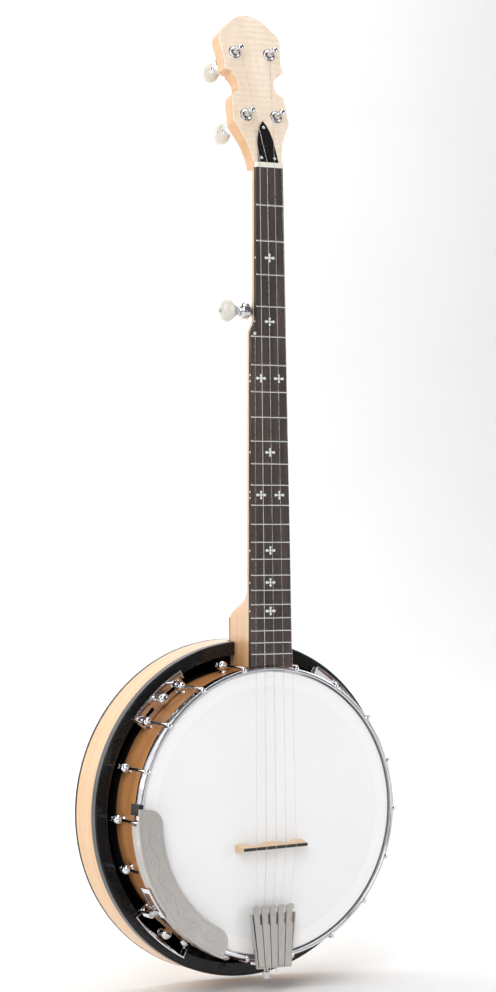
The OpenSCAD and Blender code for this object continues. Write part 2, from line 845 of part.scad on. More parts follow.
module cover_screws() {
    color(metal) peg_frame() for (p = cover_screw_places) translate([p[0], -1.9, p[1]]) rotate([90, 0, 0]) {
        cylinder(h = 1, r = 1.7, $fn = small_fn);
        translate([0, 0, -1.8]) cylinder(h = 2, r = 1, $fn = small_fn);
    }
}

module heel_cap() {
    cap_y = board_thick + heel_depth + 0.1;
    color(black) difference() {
        neck_frame() translate([-heel_cap_half, cap_y, -12]) cube([2 * heel_cap_half, heel_cap_thick, 12 + heel_start]);
        pot_clearance();
    }
}

// ---- Strings ----

function string_tail_x(i) = i * mix((2 * tail_half_low - 2.4) / 5, (2 * tail_half_top - 4.4) / 5, 7 / tail_len);
function string_tip_x(i) = i * (2 * tail_half_top - 4.4) / 5;
function string_i(n) = n == 5 ? -2 : 3 - n;
function bridge_x(n) = bridge_spacing * string_i(n);

// From the loop pin under a finger, past the finger's tip, to the bridge
function string_low_points(n) = let (r = string_r[n - 1], i = string_i(n), under = finger_thick + r + bend + 0.02) [
    tail_point(string_tail_x(i), under, 8.2),
    tail_point(string_tip_x(i), under, tail_len + 0.5),
    [bridge_x(n), -bridge_front - r - bend - 0.02, -bridge_drop + bridge_x(n) * tan(bridge_slant)]
];

// Where the string leaves the nut, and where it meets its post
function nut_points(n) = let (x = nut_string_x[n - 1], y = -nut_rise - string_r[n - 1] - bend - 0.02)
    [neck_point(x, y, nut_w - 0.2), neck_point(x, y, nut_w + nut_len + 0.1)];
post_turn_y = -6;
function post_u(n) = n == 1 ? lower_u : n == 2 ? upper_u : n == 3 ? -upper_u : -lower_u;
function post_v(n) = n == 1 || n == 4 ? lower_v : upper_v;
function post_touch(n) = let (side = post_u(n) > 0 ? -1 : 1)
    peg_point(post_u(n) + side * (2.4 + string_r[n - 1] + 0.08), post_turn_y, post_v(n));

// Where the short string crosses its pip, and where it meets its spool
function pip_point(w) = neck_point(pip_x, -pip_h - string_r[4] - bend - 0.02, pip_w + w);
function fifth_touch() = neck_point(fifth_x - 2.4, fifth_y - 3.3 - string_r[4] - 0.08, fifth_w);

module long_string(n) {
    color(metal) string(concat(string_low_points(n), nut_points(n), [post_touch(n)]), string_r[n - 1]);
}

module string_1() { long_string(1); }
module string_2() { long_string(2); }
module string_3() { long_string(3); }
module string_4() { long_string(4); }

module string_5() {
    color(metal) string(concat(string_low_points(5), [pip_point(-0.8), pip_point(1.2), fifth_touch()]), string_r[4]);
}

// ---- Tuners ----

module tuner_bushings() {
    color(metal) for (i = [1 : 4]) tuner_frame(i) difference() {
        union() {
            translate([0, 0, -1.6]) cylinder(h = 1.55, r = 6.3, $fn = round_fn);
            translate([0, 0, -0.06]) cylinder(h = 12, r = bushing_r, $fn = round_fn);
        }
        translate([0, 0, -3]) cylinder(h = 20, r = post_bore, $fn = round_fn);
    }
}

// A hollow body whose wall stands for the ring gear
module tuner_housings() {
    wall = 1.4;
    color(metal) for (i = [1 : 4]) tuner_frame(i) translate([0, 0, body_start]) difference() {
        union() {
            cylinder(h = 3, r = 9.2, $fn = round_fn);
            cylinder(h = body_len, r = body_r, $fn = round_fn);
        }
        translate([0, 0, -1]) cylinder(h = 5, r = post_bore, $fn = round_fn);
        translate([0, 0, 3.9]) cylinder(h = body_len - 3.9 - wall, r = body_r - wall, $fn = round_fn);
        translate([0, 0, body_len - 3]) cylinder(h = 5, r = shaft_bore, $fn = round_fn);
    }
}

// String post with its planet carrier and three planets
module tuner_post() {
    tip_z = -11.5;
    planet_at = 4.2;
    difference() {
        union() {
            translate([0, 0, tip_z]) sphere(r = 3.4, $fn = round_fn);
            translate([0, 0, tip_z]) cylinder(h = 10, r = 2.4, $fn = round_fn);
            translate([0, 0, -3.6]) cylinder(h = carrier_z + 3.6, r = post_r, $fn = round_fn);
            translate([0, 0, carrier_z - 4]) cylinder(h = 3, r = 6.2, $fn = round_fn);
            for (a = [0, 120, 240]) rotate(a) translate([planet_at, 0, carrier_z - 2])
                cylinder(h = 7, r = 1.9, $fn = small_fn);
        }
        translate([0, 0, tip_z + 4.5]) rotate([90, 0, 0]) cylinder(h = 10, r = 0.8, center = true, $fn = small_fn);
        translate([0, 0, carrier_z - 0.5]) cylinder(h = 20, r = 2.2, $fn = round_fn);
    }
}

module post_at(i) { color(metal) tuner_frame(i) tuner_post(); }
module tuner_post_1() { post_at(1); }
module tuner_post_2() { post_at(2); }
module tuner_post_3() { post_at(3); }
module tuner_post_4() { post_at(4); }

// Oval button on a shaft that carries the sun gear
module button(z0, len, wide, thick) {
    translate([0, 0, z0 + len / 2]) intersection() {
        scale([thick / len, wide / len, 1]) sphere(r = len / 2 * 1.12, $fn = 40);
        cube([thick + 4, wide + 4, len], center = true);
    }
}

module tuner_knob() {
    back = body_start + body_len;
    translate([0, 0, carrier_z + 0.2]) cylinder(h = 7, r = 2.1, $fn = round_fn);
    translate([0, 0, carrier_z + 6.3]) cylinder(h = back - carrier_z - 2, r = shaft_r, $fn = round_fn);
    translate([0, 0, back + 0.4]) cylinder(h = 6.2, r = 4.6, $fn = round_fn);
    button(button_reach - button_len / 2, button_len, button_wide, button_thick);
    translate([0, 0, button_reach + button_len / 2 - 1]) cylinder(h = 1.8, r = 2.2, $fn = small_fn);
}

module knob_at(i) { color(pearl) tuner_frame(i) tuner_knob(); }
module tuner_knob_1() { knob_at(1); }
module tuner_knob_2() { knob_at(2); }
module tuner_knob_3() { knob_at(3); }
module tuner_knob_4() { knob_at(4); }

fifth_case = 3.6;
fifth_case_len = 9;
fifth_pin_r = 1.5;
fifth_button_len = 18;

// Collar in the neck, a fixed pin through the spool, and the gear case
module fifth_tuner_housing() {
    color(metal) fifth_frame() {
        translate([0, 0, -9]) cylinder(h = 8, r = 3, $fn = round_fn);
        translate([0, 0, -1.2]) cylinder(h = 1.6, r = 6.2, $fn = round_fn);
        translate([0, 0, -2]) cylinder(h = fifth_case + 2.2, r = fifth_pin_r, $fn = round_fn);
        difference() {
            translate([0, 0, fifth_case]) cylinder(h = fifth_case_len, r = 8.8, $fn = round_fn);
            translate([0, 0, fifth_case + 2]) cylinder(h = fifth_case_len, r = 2.05, $fn = round_fn);
        }
    }
}

module tuner_post_5() {
    color(metal) fifth_frame() difference() {
        union() {
            translate([0, 0, 0.6]) cylinder(h = 0.8, r = 5, $fn = round_fn);
            translate([0, 0, 0.6]) cylinder(h = 2.8, r = 3.3, $fn = round_fn);
            translate([0, 0, 2.7]) cylinder(h = 0.7, r = 5, $fn = round_fn);
        }
        translate([0, 0, -1]) cylinder(h = 8, r = fifth_pin_r + 0.05, $fn = round_fn);
    }
}

module tuner_knob_5() {
    start = fifth_case + fifth_case_len;
    color(pearl) fifth_frame() {
        translate([0, 0, fifth_case + 2.2]) cylinder(h = fifth_case_len, r = 2, $fn = round_fn);
        translate([0, 0, start + 0.3]) cylinder(h = 5, r = 5.4, $fn = round_fn);
        rotate([0, 0, 90]) button(start + 3, fifth_button_len, button_wide, button_thick + 1);
        translate([0, 0, start + 2 + fifth_button_len]) cylinder(h = 1.8, r = 2.2, $fn = small_fn);
    }
}

// ---- Resonator ----

inner_r = resonator_r - resonator_wall;
function arch_y(r) = r <= land_r ? 0 : -back_arch * pow((r - land_r) / (resonator_r - land_r), 2);

module resonator_side() {
    notch_half = 13;
    notch_back = -33;
    color(maple) difference() {
        turned([
            [inner_r, -side_back], [resonator_r, -side_back], [resonator_r, -lip_depth + 1],
            [resonator_r - 1, -lip_depth], [ledge_in, -lip_depth],
            [ledge_in, ledge_thick - lip_depth], [inner_r, ledge_thick - lip_depth]
        ]);
        translate([-notch_half, -lip_depth - 1, 100]) cube([2 * notch_half, lip_depth + 1 + notch_back, 100]);
    }
}

module resonator_back() {
    edge = resonator_r - binding - 0.1;
    steps = 10;
    outer = [for (i = [0 : steps]) let (r = mix(land_r, edge, i / steps)) [r, arch_y(r)]];
    inner = [for (i = [steps : -1 : 0]) let (r = mix(land_r, edge, i / steps)) [r, arch_y(r) - back_thick]];
    color(maple) turned(concat([[0, 0]], outer, inner, [[0, -back_thick]]));
}

module resonator_binding() {
    edge = resonator_r - binding;
    top = arch_y(resonator_r);
    color(black) turned([
        [edge, -side_back + 0.05], [resonator_r + 0.2, -side_back + 0.05], [resonator_r + 0.2, top - 1.2],
        [resonator_r - 0.8, top - 0.1], [edge, top + 0.1]
    ]);
}

module resonator_lug() {
    half = 7;
    front = ledge_thick - lip_depth + gap;
    difference() {
        union() {
            translate([-half, front, screw_r - 5.5]) cube([2 * half, 5, 161.4 - screw_r + 5.5]);
            translate([-half, front, 158.6]) cube([2 * half, 20, 2.8]);
        }
        y_cyl(0, screw_r, thumb_r + 0.3, front - 2, front + 8);
    }
}

module resonator_lugs() {
    color(metal) for (a = plate_angles) rotate([0, a, 0]) resonator_lug();
}

module thumb_screw(i) {
    head_y = -69;
    color(metal) {
        y_cyl(plate_angles[i], screw_r, thumb_r, head_y, -43.5);
        y_cyl(plate_angles[i], screw_r, 3.9, -57.2, -plate_y - 0.2);
        rotate([0, plate_angles[i], 0]) translate([0, head_y, screw_r]) sphere(r = 4.4, $fn = round_fn);
    }
}

module thumb_screw_1() { thumb_screw(0); }
module thumb_screw_2() { thumb_screw(1); }
module thumb_screw_3() { thumb_screw(2); }
module thumb_screw_4() { thumb_screw(3); }

rim();
tone_ring();
flesh_hoop();
head_skin();
tension_hoop();
bracket_hooks();
bracket_shoes();
shoe_bolts();
hook_nuts();
flange_plates();
coordinator_rods();
coordinator_nuts();
tailpiece_base();
tailpiece_fingers();
tailpiece_pins();
tailpiece_bolt();
bridge_base();
bridge_top();
armrest_plate();
armrest_clamps();
armrest_nuts();
neck();
peghead_overlay();
fingerboard();
frets();
inlays();
nut();
fifth_string_nut();
truss_rod();
truss_rod_nut();
truss_rod_cover();
cover_screws();
heel_cap();
string_1();
string_2();
string_3();
string_4();
string_5();
tuner_housings();
tuner_bushings();
fifth_tuner_housing();
tuner_post_1();
tuner_post_2();
tuner_post_3();
tuner_post_4();
tuner_post_5();
tuner_knob_1();
tuner_knob_2();
tuner_knob_3();
tuner_knob_4();
tuner_knob_5();
resonator_side();
resonator_back();
resonator_binding();
resonator_lugs();
thumb_screw_1();
thumb_screw_2();
thumb_screw_3();
thumb_screw_4();
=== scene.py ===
"""Five-string resonator banjo: materials and detailed pieces on the CAD frame, with a plain studio."""

import math

import bmesh
import bpy
from mathutils import Matrix, Vector


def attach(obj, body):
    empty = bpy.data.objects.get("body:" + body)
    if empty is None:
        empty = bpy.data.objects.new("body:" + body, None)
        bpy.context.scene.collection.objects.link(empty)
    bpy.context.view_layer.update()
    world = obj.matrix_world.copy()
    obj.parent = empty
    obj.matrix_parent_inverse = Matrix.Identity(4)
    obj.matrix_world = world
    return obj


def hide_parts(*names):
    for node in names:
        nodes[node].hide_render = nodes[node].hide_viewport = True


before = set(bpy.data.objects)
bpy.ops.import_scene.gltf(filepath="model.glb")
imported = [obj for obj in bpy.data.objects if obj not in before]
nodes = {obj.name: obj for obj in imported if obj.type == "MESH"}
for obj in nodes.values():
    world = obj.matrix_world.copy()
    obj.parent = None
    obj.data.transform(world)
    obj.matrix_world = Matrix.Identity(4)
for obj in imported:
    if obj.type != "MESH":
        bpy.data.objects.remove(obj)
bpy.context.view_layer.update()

MM = 0.001

# ---------------------------------------------------------------- places

NECK = Matrix.Translation(Vector((0, -104.2, 146)) * MM) @ Matrix.Rotation(math.radians(-1.42), 4, "X")
PEG = NECK @ Matrix.Translation(Vector((2.4, 2.5, 495.9)) * MM) @ Matrix.Rotation(math.radians(-15.1), 4, "X")
OUT_BACK = Matrix.Rotation(math.radians(-90), 4, "X")
FIFTH = NECK @ Matrix.Translation(Vector((-14.6, 11.5, 349)) * MM) @ Matrix.Rotation(math.radians(-90), 4, "Y")
TUNERS = {1: (17.2, 50), 2: (19.6, 117), 3: (-19.6, 117), 4: (-17.2, 50)}
STRING_R = {1: 0.13, 2: 0.17, 3: 0.21, 4: 0.29, 5: 0.13}
HOOK_R = 146.6
HOOK_ANGLES = [side * (12 + i * 19.75) for side in (-1, 1) for i in range(9)]
SCREW_ANGLES = [-41.625, 41.625, -140.375, 140.375]
SCREW_R = 151.5


def tuner(i):
    u, v = TUNERS[i]
    return PEG @ Matrix.Translation(Vector((u, 0, v)) * MM) @ OUT_BACK


def round_pot(angle, radius, y=0.0):
    """Turns +Z to an angle round the pot and moves out along it."""
    return Matrix.Rotation(math.radians(angle), 4, "Y") @ Matrix.Translation(Vector((0, y, radius)) * MM)


# ---------------------------------------------------------------- materials


def add(tree, kind, props=None, **inputs):
    """A node with its properties set and its inputs set or linked."""
    node = tree.nodes.new("ShaderNode" + kind)
    for key, value in (props or {}).items():
        setattr(node, key, value)
    for key, value in inputs.items():
        name = key.replace("_", " ")
        socket = node.inputs[int(name[1:])] if name[0] == "i" and name[1:].isdigit() else node.inputs[name]
        if isinstance(value, bpy.types.NodeSocket):
            tree.links.new(value, socket)
        else:
            socket.default_value = value
    return node


def start(name, **values):
    """A new material, its tree and its surface shader."""
    mat = bpy.data.materials.new(name)
    mat.use_nodes = True
    tree = mat.node_tree
    bsdf = tree.nodes["Principled BSDF"]
    for key, value in values.items():
        bsdf.inputs[key.replace("_", " ")].default_value = value
    return mat, tree, bsdf


def position(tree, scale, rotation=(0, 0, 0)):
    coords = add(tree, "TexCoord").outputs["Object"]
    return add(tree, "Mapping", Vector=coords, Scale=scale, Rotation=rotation).outputs[0]


def noise(tree, vector, scale=1.0, detail=4.0, rough=0.55, distort=0.0):
    return add(tree, "TexNoise", Vector=vector, Scale=scale, Detail=detail, Roughness=rough,
               Distortion=distort).outputs["Fac"]


def ramp(tree, value, stops):
    """Colour ramp from (position, colour or grey) pairs."""
    node = add(tree, "ValToRGB", Fac=value)
    band = node.color_ramp
    while len(band.elements) < len(stops):
        band.elements.new(0.5)
    for element, (place, colour) in zip(band.elements, stops):
        element.position = place
        element.color = (*colour, 1) if isinstance(colour, tuple) else (colour, colour, colour, 1)
    return node.outputs["Color"]


def remap(tree, value, low, high, to_low, to_high):
    return add(tree, "MapRange", Value=value, From_Min=low, From_Max=high, To_Min=to_low, To_Max=to_high).outputs[0]


def mix(tree, factor, a, b, mode="MIX"):
    node = add(tree, "Mix", {"data_type": "RGBA", "blend_type": mode})
    for socket, value in zip((node.inputs[0], node.inputs[6], node.inputs[7]), (factor, a, b)):
        if isinstance(value, bpy.types.NodeSocket):
            tree.links.new(value, socket)
        elif socket == node.inputs[0]:
            socket.default_value = value
        else:
            socket.default_value = (*value, 1)
    return node.outputs[2]


def bump(tree, bsdf, height, strength, distance):
    node = add(tree, "Bump", Height=height, Strength=strength, Distance=distance)
    tree.links.new(node.outputs[0], bsdf.inputs["Normal"])


def around(tree):
    """Angle round the pot, radius from its axis and depth, in turns and metres."""
    xyz = add(tree, "SeparateXYZ", Vector=add(tree, "TexCoord").outputs["Object"]).outputs
    angle = add(tree, "Math", {"operation": "ARCTAN2"}, i0=xyz[0], i1=xyz[2]).outputs[0]
    flat = add(tree, "CombineXYZ", X=xyz[0], Y=xyz[2]).outputs[0]
    radius = add(tree, "VectorMath", {"operation": "LENGTH"}, i0=flat).outputs["Value"]
    return angle, radius, xyz[1]


def wood(name, light, dark, grain_vector, roughness, coat, flame=None, pore=0.35, lines=1.0, painted=None):
    """Fine straight grain with short pores, a flame across it if asked, and black where painted gives 1: a real black
    binding on one wood, painted shade on another.
    """
    mat, tree, bsdf = start(name, Coat_Weight=coat, Coat_Roughness=0.22)
    vector = grain_vector(tree)
    broad = noise(tree, vector, 26 * lines, 5, 0.6, 0.6)
    fine = noise(tree, vector, 170 * lines, 3, 0.5)
    grain = add(tree, "Math", {"operation": "MULTIPLY_ADD"}, i0=fine, i1=0.35, i2=broad).outputs[0]
    colour = ramp(tree, remap(tree, grain, 0.45, 0.95, 0, 1), [(0.1, dark), (0.75, light)])
    pores = remap(tree, noise(tree, vector, 420 * lines, 2, 0.5), 0.62, 0.72, 0, pore)
    colour = mix(tree, pores, colour, tuple(c * 0.62 for c in dark))
    if flame:
        colour = mix(tree, flame(tree), colour, tuple(c * 0.86 for c in dark))
    # Black where the mask gives 1: the real binding on the resonator side, painted shade on the back of the rim.
    if painted:
        colour = mix(tree, painted(tree), colour, (0.012, 0.012, 0.012))
    tree.links.new(colour, bsdf.inputs["Base Color"])
    tree.links.new(remap(tree, fine, 0.3, 0.7, roughness * 0.85, roughness * 1.2), bsdf.inputs["Roughness"])
    bump(tree, bsdf, fine, 0.12, 0.0002)
    return mat


def along_z(squeeze=0.05):
    return lambda tree: position(tree, (1, 1, squeeze))


def round_the_rim(tree):
    """Grain that runs round the pot."""
    angle, radius, depth = around(tree)
    turn = add(tree, "Math", {"operation": "MULTIPLY"}, i0=angle, i1=0.012).outputs[0]
    return add(tree, "CombineXYZ", X=turn, Y=depth, Z=radius).outputs[0]


def front_edge(tree):
    """1 on the black binding at the resonator's front edge."""
    return remap(tree, around(tree)[2], -0.0442, -0.0440, 1, 0)


def rim_painted_shade(tree):
    """1 on the back part of the rim, black as painted shade deep inside the pot."""
    return remap(tree, around(tree)[2], -0.0434, -0.0430, 0, 1)


def flame_bands(scale, strength, axis="Z"):
    """Wavy light and dark bands across the grain."""
    def make(tree):
        vector = position(tree, (1, 1, 1))
        wave = add(tree, "TexWave", {"wave_type": "BANDS", "bands_direction": axis}, Vector=vector, Scale=scale,
                   Distortion=3.4, Detail=2.0, Detail_Scale=1.6).outputs["Fac"]
        patch = noise(tree, vector, 22, 2)
        both = add(tree, "Math", {"operation": "MULTIPLY"}, i0=wave, i1=patch).outputs[0]
        return remap(tree, both, 0.15, 0.6, 0, strength)
    return make


def metal(name, colour, roughness, brushed=None, scratch=0.06):
    """Metal with fine wear: brushed is a stretch for directional lines."""
    mat, tree, bsdf = start(name, Metallic=1.0)
    vector = position(tree, brushed or (1, 1, 1))
    wear = noise(tree, vector, 900 if brushed else 260, 3, 0.6)
    haze = noise(tree, position(tree, (1, 1, 1)), 45, 3, 0.6)
    tone = mix(tree, remap(tree, haze, 0.3, 0.75, 0.0, 1.0), colour, tuple(c * 0.93 for c in colour))
    tree.links.new(tone, bsdf.inputs["Base Color"])
    spread = add(tree, "Math", {"operation": "MULTIPLY"}, i0=wear, i1=haze).outputs[0]
    tree.links.new(remap(tree, spread, 0.1, 0.45, roughness * 0.75, roughness * 1.5), bsdf.inputs["Roughness"])
    bump(tree, bsdf, wear, scratch, 0.00006 if brushed else 0.00003)
    return mat


def gloss_black(name, roughness=0.14):
    mat, tree, bsdf = start(name, Specular_IOR_Level=0.32)
    dust = noise(tree, position(tree, (1, 1, 1)), 700, 4, 0.7)
    smear = noise(tree, position(tree, (1, 1, 1)), 18, 3)
    colour = ramp(tree, dust, [(0.45, (0.006, 0.006, 0.006)), (0.8, (0.03, 0.03, 0.032))])
    tree.links.new(colour, bsdf.inputs["Base Color"])
    tree.links.new(remap(tree, smear, 0.3, 0.7, roughness * 0.7, roughness * 1.8), bsdf.inputs["Roughness"])
    bump(tree, bsdf, smear, 0.08, 0.0004)
    return mat


def pearl(name, base, tint, scale):
    """Layered pearl: folded cloudy cells with a pale colour shift."""
    mat, tree, bsdf = start(name, Coat_Weight=0.6, Coat_Roughness=0.05)
    vector = position(tree, (1, 1, 1))
    bent = add(tree, "VectorMath", {"operation": "MULTIPLY_ADD"}, i0=add(
        tree, "TexNoise", Vector=vector, Scale=scale * 0.5, Detail=3.0).outputs["Color"],
        i1=(0.006, 0.006, 0.006), i2=vector).outputs[0]
    cells = add(tree, "TexVoronoi", {"feature": "SMOOTH_F1"}, Vector=bent, Scale=scale).outputs["Distance"]
    colour = ramp(tree, cells, [(0.05, base), (0.35, tint), (0.7, tuple(c * 0.88 for c in base))])
    tree.links.new(colour, bsdf.inputs["Base Color"])
    tree.links.new(remap(tree, cells, 0, 0.7, 0.16, 0.34), bsdf.inputs["Roughness"])
    bump(tree, bsdf, cells, 0.05, 0.0002)
    return mat


def head_coating():
    """Frosted white film, paler over the metal ring that backs its edge."""
    mat, tree, bsdf = start("frosted_head", Coat_Weight=0.25, Coat_Roughness=0.16)
    radius = around(tree)[1]
    cloud = noise(tree, position(tree, (1, 1, 1)), 9, 4)
    grit = noise(tree, position(tree, (1, 1, 1)), 2600, 2, 0.6)
    field = ramp(tree, cloud, [(0.3, (0.885, 0.885, 0.9)), (0.7, (0.91, 0.91, 0.92))])
    edge = remap(tree, radius, 0.1225, 0.1262, 0, 1)
    colour = mix(tree, edge, field, (0.94, 0.925, 0.925))
    crown = add(tree, "MapRange", Value=radius, From_Min=0.1215, From_Max=0.1258, To_Min=0.0, To_Max=1.0)
    line = ramp(tree, crown.outputs[0], [(0.0, 0.0), (0.5, 1.0), (1.0, 0.0)])
    colour = mix(tree, mix(tree, 0.1, (0, 0, 0), line), colour, (0.72, 0.71, 0.72))
    tree.links.new(colour, bsdf.inputs["Base Color"])
    tree.links.new(remap(tree, cloud, 0.3, 0.7, 0.3, 0.42), bsdf.inputs["Roughness"])
    bump(tree, bsdf, grit, 0.25, 0.00004)
    return mat


def rosewood():
    """Dark open-pored fingerboard wood."""
    mat, tree, bsdf = start("rosewood")
    vector = position(tree, (1, 1, 0.045))
    streak = noise(tree, vector, 150, 5, 0.62, 0.4)
    pore = remap(tree, noise(tree, position(tree, (1, 1, 0.09)), 1500, 2, 0.6), 0.56, 0.66, 0, 0.75)
    colour = ramp(tree, streak, [(0.3, (0.018, 0.013, 0.012)), (0.52, (0.042, 0.028, 0.024)),
                                 (0.74, (0.085, 0.053, 0.041))])
    tree.links.new(mix(tree, pore, colour, (0.012, 0.008, 0.008)), bsdf.inputs["Base Color"])
    tree.links.new(remap(tree, streak, 0.3, 0.7, 0.42, 0.58), bsdf.inputs["Roughness"])
    bump(tree, bsdf, pore, 0.25, -0.0002)
    return mat


def wound(name):
    """Fine wire wound round a core, as ridges along the string, with painted shade in the grooves between turns."""
    mat, tree, bsdf = start(name, Metallic=1.0, Roughness=0.3)
    ridges = add(tree, "TexWave", {"bands_direction": "Z"}, Vector=position(tree, (1, 1, 1)),
                 Scale=1400.0).outputs["Fac"]
    # The colour is darker in the grooves between turns: painted shade.
    tree.links.new(ramp(tree, ridges, [(0, (0.5, 0.48, 0.45)), (1, (0.86, 0.84, 0.8))]), bsdf.inputs["Base Color"])
    bump(tree, bsdf, ridges, 0.4, 0.0001)
    return mat


M = {
    "maple": wood("maple", (0.85, 0.55, 0.30), (0.74, 0.42, 0.20), along_z(), 0.38, 0.25, flame_bands(34, 0.2)),
    "face": wood("pale_maple", (0.90, 0.775, 0.64), (0.82, 0.66, 0.51), along_z(), 0.36, 0.3,
                 flame_bands(52, 0.4), 0.2),
    "side": wood("side_maple", (0.85, 0.57, 0.325), (0.74, 0.43, 0.21), round_the_rim, 0.34, 0.35, None, 0.2, 1.0,
                 front_edge),
    "back": wood("flamed_maple", (0.83, 0.58, 0.32), (0.64, 0.38, 0.17), along_z(), 0.3, 0.45,
                 flame_bands(24, 0.6)),
    # The back of the rim is black as painted shade.
    "rim": wood("rim_maple", (0.64, 0.30, 0.115), (0.44, 0.185, 0.062), round_the_rim, 0.36, 0.25, None, 0.5, 1.0,
                rim_painted_shade),
    "bridge": wood("bridge_maple", (0.80, 0.61, 0.41), (0.68, 0.47, 0.29),
                   lambda tree: position(tree, (0.07, 1, 1)), 0.5, 0.0),
    "ebony": wood("ebony", (0.03, 0.026, 0.025), (0.012, 0.01, 0.01),
                  lambda tree: position(tree, (0.07, 1, 1)), 0.35, 0.1, None, 0.2),
    "rosewood": rosewood(),
    "chrome": metal("chrome", (0.74, 0.74, 0.765), 0.07),
    "cast": metal("cast_metal", (0.66, 0.65, 0.64), 0.26),
    "fret": metal("fret_metal", (0.84, 0.83, 0.81), 0.16),
    "satin": metal("satin_nickel", (0.60, 0.565, 0.535), 0.3, (1.0, 1.0, 0.06), 0.25),
    "string": metal("string_steel", (0.72, 0.71, 0.70), 0.24),
    "wound": wound("string_wound"),
    "steel": metal("steel", (0.42, 0.42, 0.43), 0.35),
    "brass": metal("brass", (0.72, 0.52, 0.24), 0.25),
    "stain": gloss_black("black_stain", 0.4),
    "black": gloss_black("black_plastic"),
    "lacquer": gloss_black("black_lacquer", 0.1),
    "lug": gloss_black("lug_black", 0.3),
    "head": head_coating(),
    "pearl": pearl("pearl", (0.88, 0.88, 0.86), (0.74, 0.80, 0.80), 420),
    "button": pearl("pearl_button", (0.80, 0.75, 0.67), (0.70, 0.66, 0.60), 130),
    "bone": pearl("bone", (0.88, 0.85, 0.77), (0.84, 0.80, 0.70), 900),
}

# ---------------------------------------------------------------- mesh helpers


def piece(name, bm, look, body, replaced=(), smooth=40):
    """Makes an object from bm, in the row frame, and fastens it to a CAD body."""
    mesh = bpy.data.meshes.new(name)
    bmesh.ops.recalc_face_normals(bm, faces=bm.faces)
    bm.to_mesh(mesh)
    bm.free()
    looks = [look] if isinstance(look, str) else look
    for item in looks:
        mesh.materials.append(M[item])
    mesh.shade_smooth()
    mesh.set_sharp_from_angle(angle=math.radians(smooth))
    obj = bpy.data.objects.new(name, mesh)
    bpy.context.collection.objects.link(obj)
    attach(obj, body)
    if replaced:
        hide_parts(*replaced)
    return obj


def dress(node, look):
    """Keeps the CAD node's shape and gives it a material."""
    obj = nodes[node]
    obj.data.materials.clear()
    obj.data.materials.append(M[look])


def soften(node, look, body, width, segments=2, angle=30, pick=None):
    """A copy of a CAD node with its sharp edges rounded. pick chooses a second material by face."""
    bm = bmesh.new()
    bm.from_mesh(nodes[node].data)
    bmesh.ops.remove_doubles(bm, verts=bm.verts, dist=1e-6)
    bmesh.ops.dissolve_limit(bm, angle_limit=math.radians(1.0), verts=bm.verts, edges=bm.edges)
    if pick:
        for face in bm.faces:
            face.material_index = pick(face)
    obj = piece(node + "_soft", bm, look, body, (node,), smooth=35)
    bevel = obj.modifiers.new("edges", "BEVEL")
    bevel.width = width * MM
    bevel.segments = segments
    bevel.limit_method = "ANGLE"
    bevel.angle_limit = math.radians(angle)
    bevel.harden_normals = True
    return obj


def lathe(bm, profile, matrix, segments=40):
    """Adds a shape turned about z. profile is (radius, z) in mm; a radius of 0 closes the end."""
    rings = []
    for radius, z in profile:
        if radius == 0:
            rings.append([bm.verts.new(matrix @ (Vector((0, 0, z)) * MM))])
            continue
        rings.append([bm.verts.new(matrix @ (Vector((
            radius * math.cos(2 * math.pi * k / segments), radius * math.sin(2 * math.pi * k / segments), z)) * MM))
            for k in range(segments)])
    for low, high in zip(rings, rings[1:]):
        for k in range(segments):
            quad = [low[k % len(low)], low[(k + 1) % len(low)], high[(k + 1) % len(high)], high[k % len(high)]]
            corners = list(dict.fromkeys(quad))
            if len(corners) > 2:
                bm.faces.new(corners)


def sweep(bm, points, radii, matrix=Matrix(), sides=10):
    """Adds a tube through points in mm. radii is one radius, or a (wide, deep) pair for each point."""
    rings = []
    count = len(points)
    across = None
    for i, point in enumerate(points):
        ahead = Vector(points[min(i + 1, count - 1)]) - Vector(points[max(i - 1, 0)])
        ahead.normalize()
        if across is None:
            across = ahead.orthogonal().normalized() if abs(ahead.x) > 0.5 else Vector((1, 0, 0))
        across = (across - ahead * across.dot(ahead)).normalized()
        other = ahead.cross(across)
        wide, deep = (radii, radii) if isinstance(radii, (int, float)) else radii[i]
        rings.append([bm.verts.new(matrix @ ((Vector(point) + across * wide * math.cos(2 * math.pi * k / sides)
                                              + other * deep * math.sin(2 * math.pi * k / sides)) * MM))
                      for k in range(sides)])
    for low, high in zip(rings, rings[1:]):
        for k in range(sides):
            bm.faces.new((low[k], low[(k + 1) % sides], high[(k + 1) % sides], high[k]))
    bm.faces.new(rings[0])
    bm.faces.new(rings[-1])


# ---------------------------------------------------------------- pot

soften("rim", "rim", "instrument", 0.8)
dress("tone_ring", "cast")
dress("head_skin", "head")
dress("flesh_hoop", "chrome")
soften("tension_hoop", "chrome", "instrument", 0.5, 3)
dress("shoe_bolts", "chrome")
soften("flange_plates", "chrome", "instrument", 0.35)
dress("coordinator_rods", "chrome")
soften("coordinator_nuts", "chrome", "instrument", 0.5)


def hooks():
    """Round hooks: a straight shank, a tight bend over the hoop and a flattened claw."""
    bm = bmesh.new()
    for angle in HOOK_ANGLES:
        turn = Matrix.Rotation(math.radians(angle), 4, "Y")
        top = -103.6
        points = [(0, -44.5, HOOK_R), (0, -46, HOOK_R), (0, -96, HOOK_R), (0, -99, HOOK_R)]
        widths = [(1.2, 1.2), (1.55, 1.55), (1.55, 1.55), (1.7, 1.55)]
        for step in range(1, 7):
            a = math.radians(90 * step / 6)
            points.append((0, top + 2.4 - 2.4 * math.sin(a), HOOK_R - 2.4 + 2.4 * math.cos(a)))
            widths.append((1.7 + 0.8 * step / 6, 1.5 - 0.45 * step / 6))
        points += [(0, top - 0.1, HOOK_R - 3.6), (0, top + 0.05, HOOK_R - 4.9)]
        widths += [(2.5, 1.0), (1.7, 0.75)]
        sweep(bm, points, widths, turn, 14)
    return piece("hooks_round", bm, "chrome", "instrument", ("bracket_hooks",), 50)


hooks()


